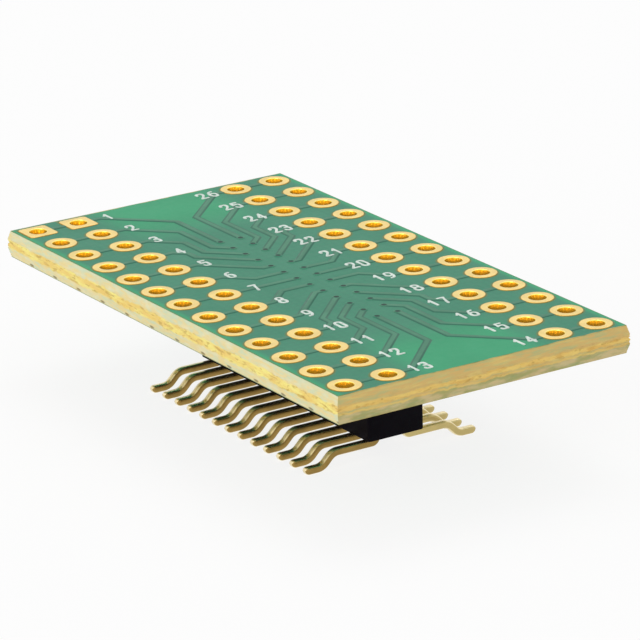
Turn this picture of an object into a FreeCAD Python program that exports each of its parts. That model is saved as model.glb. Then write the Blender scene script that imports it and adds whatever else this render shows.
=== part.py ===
import FreeCAD, Part
import math
import os

from FreeCAD import Vector

# Adapter board on gull-wing legs, in millimetres.
# The origin is the centre of the footprint, on the plane that the feet stand on.
# +Z is up, and +Y runs along the rows of holes towards holes 1 and 26.

# Hole grid of the board: two columns on each side
row_count = 13
hole_pitch = 2.54
inner_column_x = 5.08
hole_radius = 0.475
pad_radius = 0.86
square_pad_side = 1.70

# Board: a laminate cut out of its panel along V-shaped scores, with a green film on both faces
laminate_thickness = 1.50
film_thickness = 0.035
side_margin = 1.27
end_margin = 1.27
score_inset = 0.16
top_score_depth = 0.55
web_thickness = 0.35
board_clearance = 6.10

# Legs, formed from square wire
leg_pitch = 1.27
leg_thickness = 0.41
leg_row_spacing = 1.78
foot_span = 10.60
foot_length = 1.15
run_clearance = 0.67
riser_angle = 45.0
root_bend_radius = 0.08
foot_bend_radius = 0.20
nose_radius = 0.24
nose_width = 0.26
nose_taper_length = 0.20

# Insulator that holds the legs
body_width = 3.43
body_end_wall = 0.635
body_edge_radius = 0.15
solder_height = 0.30
solder_width = 0.85
leg_stand_off = 0.10

# Flats that stand for a full circle where a small round form is repeated on every hole or leg
circle_flats = 10
bend_flats = 16

outer_column_x = inner_column_x + hole_pitch
first_row_y = (row_count - 1) / 2 * hole_pitch
first_leg_y = (row_count - 1) / 2 * leg_pitch
board_width = 2 * (outer_column_x + side_margin)
board_length = 2 * (first_row_y + end_margin)
laminate_bottom = board_clearance + film_thickness
laminate_top = laminate_bottom + laminate_thickness
run_top = run_clearance + leg_thickness
body_bottom = run_top + root_bend_radius
body_length = 2 * (first_leg_y + body_end_wall)
leg_top = board_clearance - solder_height
body_top = leg_top - leg_stand_off


def rounded_outline(corners):
    """Corner points of a closed outline in which each (x, z, radius) corner is turned by an arc of short flats."""
    points = []
    for index, (x, z, radius) in enumerate(corners):
        corner = Vector(x, 0, z)
        if radius == 0:
            points.append(corner)
            continue
        before = Vector(corners[index - 1][0], 0, corners[index - 1][1])
        after = Vector(corners[(index + 1) % len(corners)][0], 0, corners[(index + 1) % len(corners)][1])
        back = (before - corner).normalize()
        ahead = (after - corner).normalize()
        half_opening = back.getAngle(ahead) / 2
        centre = corner + (back + ahead).normalize() * (radius / math.sin(half_opening))
        start = corner + back * (radius / math.tan(half_opening)) - centre
        turn = math.pi - 2 * half_opening
        side = 1 if back.cross(ahead).y > 0 else -1
        flats = max(1, round(turn / (2 * math.pi) * bend_flats))
        for step in range(flats + 1):
            turned = FreeCAD.Rotation(Vector(0, side, 0), -math.degrees(turn) * step / flats).multVec(start)
            points.append(centre + turned)
    return points


def prism(points, along):
    """Solid made by moving a closed outline along a vector."""
    return Part.Face(Part.makePolygon(points + points[:1])).extrude(along)


def round_prism(x, y, radius, bottom, top):
    """Upright prism with many flats, which lie half outside and half inside a circle of the given radius."""
    corner_radius = radius * 2 / (1 + math.cos(math.pi / circle_flats))
    points = []
    for step in range(circle_flats):
        angle = 2 * math.pi * (step + 0.5) / circle_flats
        points.append(Vector(x + corner_radius * math.cos(angle), y + corner_radius * math.sin(angle), bottom))
    return prism(points, Vector(0, 0, top - bottom))


def hole_places():
    """(x, y, number) of every hole, numbered down the left side and up the right one."""
    places = []
    for row in range(row_count):
        y = first_row_y - row * hole_pitch
        for x in (inner_column_x, outer_column_x):
            places.append((-x, y, row + 1))
            places.append((x, y, 2 * row_count - row))
    return places


def scored_slab():
    """Laminate blank: the common part of two bars, each with the V-cut outline of two opposite edges."""
    web_top = laminate_top - top_score_depth
    web_bottom = web_top - web_thickness

    def edge_outline(half):
        right = [
            (half - score_inset, laminate_bottom),
            (half, web_bottom),
            (half, web_top),
            (half - score_inset, laminate_top),
        ]
        return right + [(-u, z) for u, z in reversed(right)]

    lengthwise = [Vector(u, -board_length / 2, z) for u, z in edge_outline(board_width / 2)]
    crosswise = [Vector(-board_width / 2, u, z) for u, z in edge_outline(board_length / 2)]
    return prism(lengthwise, Vector(0, board_length, 0)).common(prism(crosswise, Vector(board_width, 0, 0)))


def circuit_board():
    """Laminate with all its plated holes. The four corner holes are true cylinders, for use as mounts."""
    holes = []
    for x, y, _ in hole_places():
        if abs(x) == outer_column_x and abs(y) == first_row_y:
            holes.append(Part.makeCylinder(hole_radius, laminate_thickness, Vector(x, y, laminate_bottom)))
        else:
            holes.append(round_prism(x, y, hole_radius, laminate_bottom, laminate_top))
    return scored_slab().cut(holes)


def solder_mask(bottom):
    """Film over one face of the laminate, with an opening round each hole that bares its plated pad."""
    width = board_width - 2 * score_inset
    length = board_length - 2 * score_inset
    film = Part.makeBox(width, length, film_thickness, Vector(-width / 2, -length / 2, bottom))
    openings = []
    for x, y, number in hole_places():
        if number == 1:
            half = square_pad_side / 2
            corner = Vector(x - half, y - half, bottom)
            openings.append(Part.makeBox(square_pad_side, square_pad_side, film_thickness, corner))
        else:
            openings.append(round_prism(x, y, pad_radius, bottom, bottom + film_thickness))
    return film.cut(openings)


def leg(side, y):
    """Gull-wing leg: its side view, moved through the wire's width, kept inside its tapered plan view."""
    inner = leg_row_spacing / 2 - leg_thickness / 2
    outer = inner + leg_thickness
    tip = foot_span / 2
    slope = math.tan(math.radians(riser_angle))
    shift = leg_thickness * math.tan(math.radians(riser_angle) / 2)
    heel = tip - foot_length
    knee = heel - run_clearance / slope
    wide = foot_bend_radius + leg_thickness
    corners = [
        (inner, leg_top, 0),
        (inner, run_clearance, root_bend_radius + leg_thickness),
        (knee, run_clearance, foot_bend_radius),
        (heel, 0, wide),
        (tip, 0, nose_radius),
        (tip, leg_thickness, leg_thickness - nose_radius),
        (heel + shift, leg_thickness, foot_bend_radius),
        (knee + shift, run_top, wide),
        (outer, run_top, root_bend_radius),
        (outer, leg_top, 0),
    ]
    half = leg_thickness / 2
    side_view = [Vector(point.x, -half, point.z) for point in rounded_outline(corners)]
    formed = prism(side_view, Vector(0, leg_thickness, 0))
    taper_start = tip - nose_taper_length
    plan = [
        Vector(inner, -half, 0),
        Vector(taper_start, -half, 0),
        Vector(tip, -nose_width / 2, 0),
        Vector(tip, nose_width / 2, 0),
        Vector(taper_start, half, 0),
        Vector(inner, half, 0),
    ]
    solid = formed.common(prism(plan, Vector(0, 0, leg_top)))
    if side < 0:
        solid = solid.mirror(Vector(0, 0, 0), Vector(1, 0, 0))
    solid.translate(Vector(0, y, 0))
    return solid


def leg_places():
    """(number, side, y) of every leg, numbered down the left side and up the right one."""
    places = []
    for row in range(row_count):
        y = first_leg_y - row * leg_pitch
        places.append((row + 1, -1, y))
        places.append((2 * row_count - row, 1, y))
    return places


def header_body():
    """Moulded bar with rounded upright edges and a square hole for each leg."""
    height = body_top - body_bottom
    corner = Vector(-body_width / 2, -body_length / 2, body_bottom)
    bar = Part.makeBox(body_width, body_length, height, corner)
    upright = [edge for edge in bar.Edges if abs(edge.tangentAt(edge.FirstParameter).z) > 0.5]
    bar = bar.makeFillet(body_edge_radius, upright)
    holes = []
    for _, side, y in leg_places():
        x = side * leg_row_spacing / 2 - leg_thickness / 2
        corner = Vector(x, y - leg_thickness / 2, body_bottom)
        holes.append(Part.makeBox(leg_thickness, leg_thickness, height, corner))
    return bar.cut(holes)


def tapered_block(x, y, low_width, low_z, high_width, high_z):
    """Block with a square end at each height and four sloping sides."""
    rings = []
    for width, z in ((low_width, low_z), (high_width, high_z)):
        half = width / 2
        rings.append([Vector(x + u * half, y + v * half, z) for u, v in ((-1, -1), (1, -1), (1, 1), (-1, 1))])
    low, high = rings
    outlines = [low, high]
    for index in range(4):
        following = (index + 1) % 4
        outlines.append([low[index], low[following], high[following], high[index]])
    faces = [Part.Face(Part.makePolygon(outline + outline[:1])) for outline in outlines]
    return Part.makeSolid(Part.makeShell(faces))


def solder_joints():
    """Cone of solder on the end of each leg, widest where it meets the board."""
    cones = []
    for _, side, y in leg_places():
        x = side * leg_row_spacing / 2
        cones.append(tapered_block(x, y, leg_thickness, leg_top, solder_width, board_clearance))
    return Part.makeCompound(cones)


def write(shape, node):
    """Save one sub-part under its node's name."""
    shape.exportStep(os.path.join("parts", node + ".step"))


os.makedirs("parts", exist_ok=True)
write(circuit_board(), "circuit_board")
write(solder_mask(laminate_top), "solder_mask_top")
write(solder_mask(board_clearance), "solder_mask_bottom")
write(header_body(), "header_body")
write(solder_joints(), "solder_joints")
for number, side, y in leg_places():
    write(leg(side, y), "pin_%02d" % number)
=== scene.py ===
import math

import bmesh
import bpy
import numpy as np
from bpy.props import FloatProperty, FloatVectorProperty, IntProperty, PointerProperty
from mathutils import Matrix, Vector


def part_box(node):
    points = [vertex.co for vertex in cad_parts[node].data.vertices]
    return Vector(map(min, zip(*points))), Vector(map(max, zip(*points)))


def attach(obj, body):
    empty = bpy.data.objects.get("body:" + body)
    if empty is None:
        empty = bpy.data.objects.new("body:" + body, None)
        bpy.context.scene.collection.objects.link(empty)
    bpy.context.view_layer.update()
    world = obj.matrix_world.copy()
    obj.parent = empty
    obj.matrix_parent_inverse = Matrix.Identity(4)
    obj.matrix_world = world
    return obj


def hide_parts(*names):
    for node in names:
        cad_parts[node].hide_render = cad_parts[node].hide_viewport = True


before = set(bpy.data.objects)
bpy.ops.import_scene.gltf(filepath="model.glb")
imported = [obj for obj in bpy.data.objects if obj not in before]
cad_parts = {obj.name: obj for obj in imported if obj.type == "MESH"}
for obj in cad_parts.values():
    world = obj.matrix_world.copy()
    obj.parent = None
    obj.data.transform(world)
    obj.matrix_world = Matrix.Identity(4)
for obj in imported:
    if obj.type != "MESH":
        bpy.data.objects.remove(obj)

bl_info = {
    "name": "Adapter board on gull-wing legs",
    "version": (1, 0, 0),
    "blender": (4, 5, 0),
    "location": "3D View > Sidebar > Adapter",
    "description": "Builds the finish of a small adapter board on gull-wing legs around its packed solids",
    "category": "Add Mesh",
}


def node_box(name):
    """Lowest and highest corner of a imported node."""
    return np.array(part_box(name))


MM = 0.001
ROWS = 13
LEG_NAMES = ["pin_%02d" % number for number in range(1, 2 * ROWS + 1)]
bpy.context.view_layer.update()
LAMINATE_LOW, LAMINATE_HIGH = node_box("circuit_board")
BOARD_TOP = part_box("solder_mask_top")[1][2]
BOARD_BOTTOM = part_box("solder_mask_bottom")[0][2]
BODY_LOW, BODY_HIGH = node_box("header_body")
LEG_LOW, LEG_HIGH = node_box("pin_14")


# Settings that a user may change


class BoardSettings(bpy.types.PropertyGroup):
    """Sizes of the board's holes, pads, tracks and print."""

    hole_pitch: FloatProperty(
        name="Hole pitch", description="Distance between neighbouring holes",
        default=2.54 * MM, unit="LENGTH")
    inner_column: FloatProperty(
        name="Inner column", description="Distance of the inner holes from the middle line",
        default=5.08 * MM, unit="LENGTH")
    hole_radius: FloatProperty(
        name="Hole radius", description="Radius of a plated hole", default=0.475 * MM, unit="LENGTH")
    pad_radius: FloatProperty(
        name="Pad radius", description="Radius of a round pad", default=0.87 * MM, unit="LENGTH")
    pad_side: FloatProperty(
        name="Square pad", description="Side of the square pads at hole 1", default=1.70 * MM, unit="LENGTH")
    relief: FloatProperty(
        name="Relief", description="Height of pads over the green film", default=0.036 * MM, unit="LENGTH")
    score_inset: FloatProperty(
        name="Score inset", description="How far the scored edges lean in",
        default=0.16 * MM, unit="LENGTH")
    score_depth: FloatProperty(
        name="Score depth", description="Depth of the score in the top face",
        default=0.55 * MM, unit="LENGTH")
    web: FloatProperty(
        name="Web", description="Height of the broken strip between the scores",
        default=0.35 * MM, unit="LENGTH")
    via_pitch: FloatProperty(
        name="Via pitch", description="Distance between neighbouring vias",
        default=1.27 * MM, unit="LENGTH")
    track_width: FloatProperty(
        name="Track width", description="Width of a track under the film",
        default=0.44 * MM, unit="LENGTH")
    track_spacing: FloatProperty(
        name="Track spacing", description="Distance between parallel tracks",
        default=0.80 * MM, unit="LENGTH")
    digit_height: FloatProperty(
        name="Digit height", description="Height of a printed number", default=0.98 * MM, unit="LENGTH")
    seed: IntProperty(name="Seed", description="Seed of the broken edge's unevenness", default=7)


class LegSettings(bpy.types.PropertyGroup):
    """Sizes of the gull-wing legs."""

    thickness: FloatProperty(
        name="Thickness", description="Side of the square wire", default=0.41 * MM, unit="LENGTH")
    root_radius: FloatProperty(
        name="Root radius", description="Inner radius of the bend under the body",
        default=0.08 * MM, unit="LENGTH")
    foot_radius: FloatProperty(
        name="Foot radius", description="Inner radius of the two bends above the foot",
        default=0.56 * MM, unit="LENGTH")
    run_height: FloatProperty(
        name="Run height", description="Height of the level run over the feet",
        default=0.67 * MM, unit="LENGTH")
    foot_length: FloatProperty(
        name="Foot length", description="Length of the flat foot", default=1.15 * MM, unit="LENGTH")
    nose_radius: FloatProperty(
        name="Nose radius", description="Lower radius of the rounded tip",
        default=0.24 * MM, unit="LENGTH")
    nose_width: FloatProperty(
        name="Nose width", description="Width of the rounded tip", default=0.26 * MM, unit="LENGTH")
    edge_radius: FloatProperty(
        name="Edge radius", description="Radius of the wire's long edges",
        default=0.12 * MM, unit="LENGTH")


class FinishSettings(bpy.types.PropertyGroup):
    """Colours of the surfaces."""

    film: FloatVectorProperty(
        name="Film", description="Green film over the body", subtype="COLOR",
        default=(0.046, 0.245, 0.150))
    film_lit: FloatVectorProperty(
        name="Film, lit", description="Green film where light comes through the laminate",
        subtype="COLOR", default=(0.036, 0.360, 0.170))
    film_on_copper: FloatVectorProperty(
        name="Film on copper", description="Green film over a track", subtype="COLOR",
        default=(0.072, 0.258, 0.158))
    laminate: FloatVectorProperty(
        name="Laminate", description="Scored face of the laminate", subtype="COLOR",
        default=(0.82, 0.75, 0.47))
    laminate_end: FloatVectorProperty(
        name="Laminate, short sides", description="Scored face of the laminate across the short sides",
        subtype="COLOR", default=(0.76, 0.57, 0.19))
    fibre: FloatVectorProperty(
        name="Fibre", description="Broken strip of the laminate", subtype="COLOR",
        default=(0.94, 0.83, 0.26))
    burr: FloatVectorProperty(
        name="Burr", description="Darkest fibres of the broken strip", subtype="COLOR",
        default=(0.50, 0.28, 0.05))
    gold: FloatVectorProperty(
        name="Gold", description="Plated pads", subtype="COLOR", default=(0.80, 0.61, 0.22))
    # The bore's gold is brighter and deeper than the pads': partly painted light from the bounces in the
    # hole.
    bore: FloatVectorProperty(
        name="Bore", description="Plated wall of a hole", subtype="COLOR", default=(1.00, 0.78, 0.15))
    leg_gold: FloatVectorProperty(
        name="Leg gold", description="Rolled faces of the legs", subtype="COLOR",
        default=(0.90, 0.77, 0.47))
    # The sheared sides' colour differs by row: painted shade on legs 1 to 13, and painted light on legs 14 to
    # 26.
    leg_flank: FloatVectorProperty(
        name="Leg flank", description="Sheared sides of legs 1 to 13", subtype="COLOR",
        default=(0.39, 0.255, 0.075))
    leg_flank_right: FloatVectorProperty(
        name="Leg flank, right", description="Sheared sides of legs 14 to 26", subtype="COLOR",
        default=(0.60, 0.48, 0.20))
    ink: FloatVectorProperty(
        name="Ink", description="Printed numbers", subtype="COLOR", default=(0.76, 0.86, 0.79))
    plastic: FloatVectorProperty(
        name="Plastic", description="Moulded body", subtype="COLOR", default=(0.004, 0.003, 0.005))
    solder: FloatVectorProperty(
        name="Solder", description="Solder joints", subtype="COLOR", default=(0.55, 0.55, 0.53))


class StudioSettings(bpy.types.PropertyGroup):
    """Camera and light."""

    azimuth: FloatProperty(
        name="Azimuth", description="Direction of the camera round the board", subtype="ANGLE",
        default=math.radians(-32.4635))
    elevation: FloatProperty(
        name="Elevation", description="Height angle of the camera", subtype="ANGLE",
        default=math.radians(19.1217))
    roll: FloatProperty(
        name="Roll", description="Lean of the camera", subtype="ANGLE", default=math.radians(1.4852))
    distance: FloatProperty(
        name="Distance", description="Distance from the camera to the board",
        default=227.507 * MM, unit="LENGTH")
    aim_across: FloatProperty(
        name="Aim across", description="How far the board's middle lies right of the view's middle",
        default=-0.6935 * MM, unit="LENGTH")
    aim_down: FloatProperty(
        name="Aim down", description="How far the board's middle lies below the view's middle",
        default=-2.3414 * MM, unit="LENGTH")
    lens: FloatProperty(
        name="Lens", description="Focal length on a 36 mm sensor", default=243.3, unit="CAMERA")
    daylight: FloatProperty(
        name="Daylight", description="Strength of the light from all round", default=0.60)
    key: FloatProperty(name="Key", description="Share of the light from the main lamp", default=0.28)
    fill: FloatProperty(name="Fill", description="Share of the light from the low lamp", default=0.34)
    floor_glow: FloatProperty(
        name="Floor glow", description="Share of plain white in what is seen of the floor", default=0.84)


# Shapes as arrays: a surface is a grid of points with the axes (copy, row, column, xyz)


def join(*parts):
    """Coordinates side by side on a new last axis, each repeated to the shape that they share."""
    return np.stack(np.broadcast_arrays(*parts), axis=-1)


def full_turn(steps):
    """Evenly spaced angles round a circle."""
    return np.linspace(0, 2 * math.pi, steps, endpoint=False)


def turned(vector, angles):
    """A flat vector, turned by each of the angles."""
    cos, sin = np.cos(angles), np.sin(angles)
    return join(vector[0] * cos - vector[1] * sin, vector[0] * sin + vector[1] * cos)


def spread(edges, steps):
    """Evenly spaced values from each edge to the next, each stretch in its own number of steps."""
    stretches = [np.linspace(a, b, n, endpoint=False) for a, b, n in zip(edges[:-1], edges[1:], steps)]
    return np.concatenate(stretches + [edges[-1:]])


def grid_quads(shape, close_rows, close_columns):
    """Corner numbers of every cell of a stack of grids. A closed direction joins its last line to its
    first."""
    numbers = np.arange(math.prod(shape)).reshape(shape)
    if close_rows:
        numbers = np.concatenate([numbers, numbers[:, :1]], axis=1)
    if close_columns:
        numbers = np.concatenate([numbers, numbers[:, :, :1]], axis=2)
    corners = (numbers[:, :-1, :-1], numbers[:, :-1, 1:], numbers[:, 1:, 1:], numbers[:, 1:, :-1])
    return np.stack(corners, axis=-1).reshape(-1, 4)


class Surface:
    """Grids that together make the shell or shells of one piece, with a UV pair for every point."""

    def __init__(self):
        self.points = []
        self.uvs = []
        self.quads = []
        self.count = 0

    def add(self, grid, close_rows=False, close_columns=False, uv=(0.0, 0.0)):
        """Adds a grid of points with any number of leading copy axes."""
        grid = grid.reshape((-1,) + grid.shape[-3:])
        shape = grid.shape[:3]
        self.points.append(grid.reshape(-1, 3))
        self.uvs.append(np.broadcast_to(uv, shape + (2,)).reshape(-1, 2))
        self.quads.append(grid_quads(shape, close_rows, close_columns) + self.count)
        self.count += math.prod(shape)
        return self

    def mesh(self, name, crease):
        """Welds points that coincide, drops the sides that this closes up, and turns every face outwards.
        Edges that bend by more than the crease, in degrees, are shaded sharp."""
        points = np.concatenate(self.points)
        uvs = np.concatenate(self.uvs)
        quads = np.concatenate(self.quads)
        weld_step = 2e-8
        _, first, place = np.unique(
            np.round(points / weld_step).astype(np.int64), axis=0, return_index=True, return_inverse=True)
        welded = place.reshape(-1)[quads]
        distinct = welded != np.roll(welded, -1, axis=1)
        kept = distinct.sum(axis=1) >= 3
        welded, distinct, corner_uvs = welded[kept], distinct[kept], uvs[quads[kept]]
        loops = welded[distinct]
        totals = distinct.sum(axis=1)
        mesh = bpy.data.meshes.new(name)
        mesh.vertices.add(len(first))
        mesh.vertices.foreach_set("co", points[first].ravel())
        mesh.loops.add(len(loops))
        mesh.loops.foreach_set("vertex_index", loops)
        mesh.polygons.add(len(totals))
        mesh.polygons.foreach_set("loop_start", np.concatenate([[0], np.cumsum(totals)[:-1]]))
        mesh.uv_layers.new(name="UVMap").uv.foreach_set("vector", corner_uvs[distinct].ravel())
        mesh.update(calc_edges=True)
        mesh.validate()
        work = bmesh.new()
        work.from_mesh(mesh)
        bmesh.ops.recalc_face_normals(work, faces=work.faces)
        work.to_mesh(mesh)
        work.free()
        mesh.polygons.foreach_set("use_smooth", np.ones(len(mesh.polygons), dtype=bool))
        mesh.set_sharp_from_angle(angle=math.radians(crease))
        return mesh


def add_piece(surface, name, material, replaced=(), crease=38):
    """Puts a finished piece into the scene, on the part's only body."""
    piece = bpy.data.objects.new(name, surface.mesh(name, crease))
    piece.data.materials.append(material)
    bpy.context.scene.collection.objects.link(piece)
    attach(piece, "root")
    if replaced:
        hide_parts(*replaced)


def lattice_noise(across, along, cells_across, cells_along, seed):
    """Smooth noise from 0 to 1: random values on a lattice that wraps along, mixed by the smoothstep of the
    place between them. across and along run from 0 to 1."""
    values = np.random.RandomState(seed).rand(cells_across + 1, cells_along)
    row, column = across * cells_across, along * cells_along
    r0, c0 = np.floor(row).astype(int), np.floor(column).astype(int)
    r0 = np.minimum(r0, cells_across - 1)
    fr, fc = row - r0, column - c0
    fr, fc = fr * fr * (3 - 2 * fr), fc * fc * (3 - 2 * fc)
    c0, c1 = c0 % cells_along, (c0 + 1) % cells_along
    low = values[r0, c0] * (1 - fc) + values[r0, c1] * fc
    high = values[r0 + 1, c0] * (1 - fc) + values[r0 + 1, c1] * fc
    return low * (1 - fr) + high * fr


def ridge(path, width, height, base, shoulder, ends):
    """Ridge along a level path. Its section stands square to the path and is mitred where that turns. It has
    a flat top, two slopes on each side, over the shoulder's share of the half width, and a short foot below
    the base. Round ends let the half width fall as the cosine of the angle round the end, and square ends
    close at once. A path with no ends is a loop, and its last section is to be joined to its first."""
    foot = 0.01 * MM
    path = np.asarray(path, dtype=float)
    if ends == "none":
        path = path[:-1]
        steps = np.roll(path, -1, axis=0) - path
        steps /= np.linalg.norm(steps, axis=1, keepdims=True)
        before, after = np.roll(steps, 1, axis=0), steps
    else:
        steps = np.diff(path, axis=0)
        steps /= np.linalg.norm(steps, axis=1, keepdims=True)
        before, after = np.concatenate([steps[:1], steps]), np.concatenate([steps, steps[-1:]])
    ahead = before + after
    ahead /= np.linalg.norm(ahead, axis=1, keepdims=True)
    stretch = 1 / np.sum(ahead * after, axis=1)
    cap_steps = {"round": 4, "square": 1, "none": 0}[ends]
    angle = np.linspace(math.pi / 2, 0, cap_steps, endpoint=False)
    reach = (width / 2 * np.sin(angle))[:, None] * (ends == "round")
    centres = np.concatenate([path[:1] - steps[:1] * reach, path, (path[-1:] + steps[-1:] * reach)[::-1]])
    directions = np.concatenate([
        np.repeat(steps[:1], cap_steps, 0), ahead, np.repeat(steps[-1:], cap_steps, 0)])
    halves = np.concatenate([np.cos(angle), stretch, np.cos(angle)[::-1]]) * width / 2
    side = np.stack([-directions[:, 1], directions[:, 0]], axis=1)
    u = np.array([-1, -1, -1 + shoulder / 2, -1 + shoulder, 0, 1 - shoulder, 1 - shoulder / 2, 1, 1])
    z = np.array([-foot / height, 0, 0.7, 1, 1, 1, 0.7, 0, -foot / height]) * height + base
    flat = centres[:, None] + side[:, None] * (halves[:, None] * u)[..., None]
    grid = np.concatenate([flat, np.broadcast_to(z[:, None], flat.shape[:2] + (1,))], axis=2)
    return grid, join(np.abs(u), np.linspace(0, 1, len(centres))[:, None])


def eased(line):
    """Line with its corners cut twice: each stretch keeps only the part from a quarter to three quarters of
    its length. A line that ends where it starts stays a loop, and any other keeps its ends. The second
    result is the kind of ends that it then has."""
    line = np.asarray(line, dtype=float)
    whole = bool(np.allclose(line[0], line[-1]))
    for _ in range(2):
        a, b = line[:-1], line[1:]
        cut = np.stack([0.75 * a + 0.25 * b, 0.25 * a + 0.75 * b], axis=1).reshape(-1, 2)
        line = np.concatenate([cut, cut[:1]]) if whole else np.concatenate([line[:1], cut, line[-1:]])
    return line, "none" if whole else "round"


# Places on the board


def hole_table(board):
    """Arrays of the holes' x, y and number, row by row from hole 1, two columns on each side."""
    row = np.arange(ROWS)
    y = ((ROWS - 1) / 2 - row) * board.hole_pitch
    columns = np.array([-1, -1, 1, 1]) * (board.inner_column + np.array([1, 0, 0, 1]) * board.hole_pitch)
    number = np.stack([row + 1, row + 1, 2 * ROWS - row, 2 * ROWS - row], axis=1)
    x, y = np.broadcast_arrays(columns, y[:, None])
    return x.ravel(), y.ravel(), number.ravel()


def film_top(board):
    """Height of the green film's upper face, below the pads' crowns."""
    return BOARD_TOP - board.relief


def plate(board, outline, top, bottom, rim):
    """Plate with an opening round each hole. Round every hole, a ring of cells runs from its rim to the
    border of the rectangle that holds it: a rim point lies on the ray from the hole's centre to a border
    point, at the distance that rim(direction, number) gives. The middle strip and the outer wall use the
    same border points, so all sides meet."""
    per_side = 12
    half_x, half_y = outline
    pitch, inner = board.hole_pitch, board.inner_column
    split_y = (np.arange(1, ROWS) - ROWS / 2) * pitch
    edges_y = np.concatenate([[-half_y], split_y, [half_y]])
    left = [-half_x, -inner - pitch / 2, -inner + pitch / 2]
    edges_x = np.array(left + [-value for value in reversed(left)])
    surface = Surface()
    x, y, number = hole_table(board)
    column = np.searchsorted(edges_x, x) - 1
    row = np.searchsorted(edges_y, y) - 1
    low_x, high_x = edges_x[column], edges_x[column + 1]
    low_y, high_y = edges_y[row], edges_y[row + 1]
    t = np.arange(per_side) / per_side
    zero, one = np.zeros(per_side), np.ones(per_side)
    share_x = np.concatenate([t, one, 1 - t, zero])
    share_y = np.concatenate([zero, t, one, 1 - t])
    border = join(
        low_x[:, None] + (high_x - low_x)[:, None] * share_x,
        low_y[:, None] + (high_y - low_y)[:, None] * share_y)
    centre = join(x, y)[:, None]
    direction = border - centre
    direction /= np.linalg.norm(direction, axis=-1, keepdims=True)
    opening = centre + direction * rim(direction, number)[..., None]

    def at_height(flat, z):
        """Flat points lifted to one height."""
        return join(flat[..., 0], flat[..., 1], z)

    rings = [at_height(border, top), at_height(opening, top), at_height(opening, bottom),
             at_height(border, bottom)]
    surface.add(np.stack(rings, axis=1), close_columns=True)
    along = spread(edges_y, [per_side] * ROWS)
    middle = join(*np.meshgrid(edges_x[2:4], along, indexing="ij"))
    surface.add(at_height(middle, top)).add(at_height(middle, bottom))
    across = spread(edges_x, [per_side, per_side, 1, per_side, per_side])
    loop = np.concatenate([
        join(across[:-1], -half_y), join(half_x, along[:-1]),
        join(across[:0:-1], half_y), join(-half_x, along[:0:-1])])
    surface.add(np.stack([at_height(loop, top), at_height(loop, bottom)]), close_columns=True)
    return surface


def square_reach(direction, half_side):
    """Distance from the middle of a square with slightly rounded corners to its outline: half the side over
    the root of the summed powers of the direction's two parts. The higher the power, the sharper the
    corners."""
    power = 14
    parts = np.abs(direction) ** power
    return half_side / parts.sum(axis=-1) ** (1 / power)


# Shader helpers


def node(tree, kind, **values):
    """Adds a node and sets its own properties."""
    made = tree.nodes.new(kind)
    for name, value in values.items():
        setattr(made, name, value)
    return made


def lay_out(tree):
    """Spreads a tree's nodes over the editor in rows of eight, in the order in which they were made."""
    for index, made in enumerate(tree.nodes):
        made.location = (index % 8 * 220.0, index // 8 * -340.0)


def feed(tree, source, target):
    """Sets an input to a value, or links it to another node's output."""
    if isinstance(source, bpy.types.NodeSocket):
        tree.links.new(source, target)
    else:
        target.default_value = source


def rgba(colour):
    """Colour with full cover, or a socket as it is."""
    return colour if isinstance(colour, bpy.types.NodeSocket) else (*colour[:3], 1.0)


def shade(colour, factor):
    """Colour made darker or brighter."""
    return tuple(min(1.0, part * factor) for part in colour[:3])


def math_node(tree, operation, a, b=0.0):
    """Output of one arithmetic step on values or sockets."""
    made = node(tree, "ShaderNodeMath", operation=operation)
    feed(tree, a, made.inputs[0])
    feed(tree, b, made.inputs[1])
    return made.outputs[0]


def plus(tree, a, b):
    """a + b."""
    return math_node(tree, "ADD", a, b)


def minus(tree, a, b):
    """a - b."""
    return math_node(tree, "SUBTRACT", a, b)


def times(tree, a, b):
    """a times b."""
    return math_node(tree, "MULTIPLY", a, b)


def larger(tree, a, b):
    """The larger of a and b."""
    return math_node(tree, "MAXIMUM", a, b)


def without_sign(tree, a):
    """a, or -a where a is below 0."""
    return math_node(tree, "ABSOLUTE", a)


def gap(tree, a, b):
    """Distance between a and b."""
    return without_sign(tree, minus(tree, a, b))


def length(tree, a, b):
    """Length of the vector with these two parts."""
    return math_node(tree, "SQRT", plus(tree, times(tree, a, a), times(tree, b, b)))


def nearest(tree, value, pitch, offset=0.0):
    """Distance from a value to the nearest of a row of places spaced by a pitch."""
    moved = plus(tree, value, offset + pitch / 2)
    return gap(tree, math_node(tree, "FLOORED_MODULO", moved, pitch), pitch / 2)


def band(tree, value, low, high, reverse=False):
    """Smooth step of a value from 0 at low to 1 at high, or the other way."""
    made = node(tree, "ShaderNodeMapRange", interpolation_type="SMOOTHSTEP")
    feed(tree, value, made.inputs["Value"])
    made.inputs["From Min"].default_value = low
    made.inputs["From Max"].default_value = high
    made.inputs["To Min"].default_value = 1.0 if reverse else 0.0
    made.inputs["To Max"].default_value = 0.0 if reverse else 1.0
    return made.outputs["Result"]


def mix(tree, share, a, b, blend="MIX"):
    """Colour that goes from a to b with the share."""
    made = node(tree, "ShaderNodeMix", data_type="RGBA", blend_type=blend)
    feed(tree, share, made.inputs[0])
    feed(tree, rgba(a), made.inputs[6])
    feed(tree, rgba(b), made.inputs[7])
    return made.outputs[2]


def noise_value(tree, vector, scale, detail, roughness=0.5):
    """Smooth noise over a vector, 0.5 on average."""
    made = node(tree, "ShaderNodeTexNoise")
    feed(tree, vector, made.inputs["Vector"])
    feed(tree, scale, made.inputs["Scale"])
    made.inputs["Detail"].default_value = detail
    made.inputs["Roughness"].default_value = roughness
    return made.outputs["Fac"]


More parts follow.
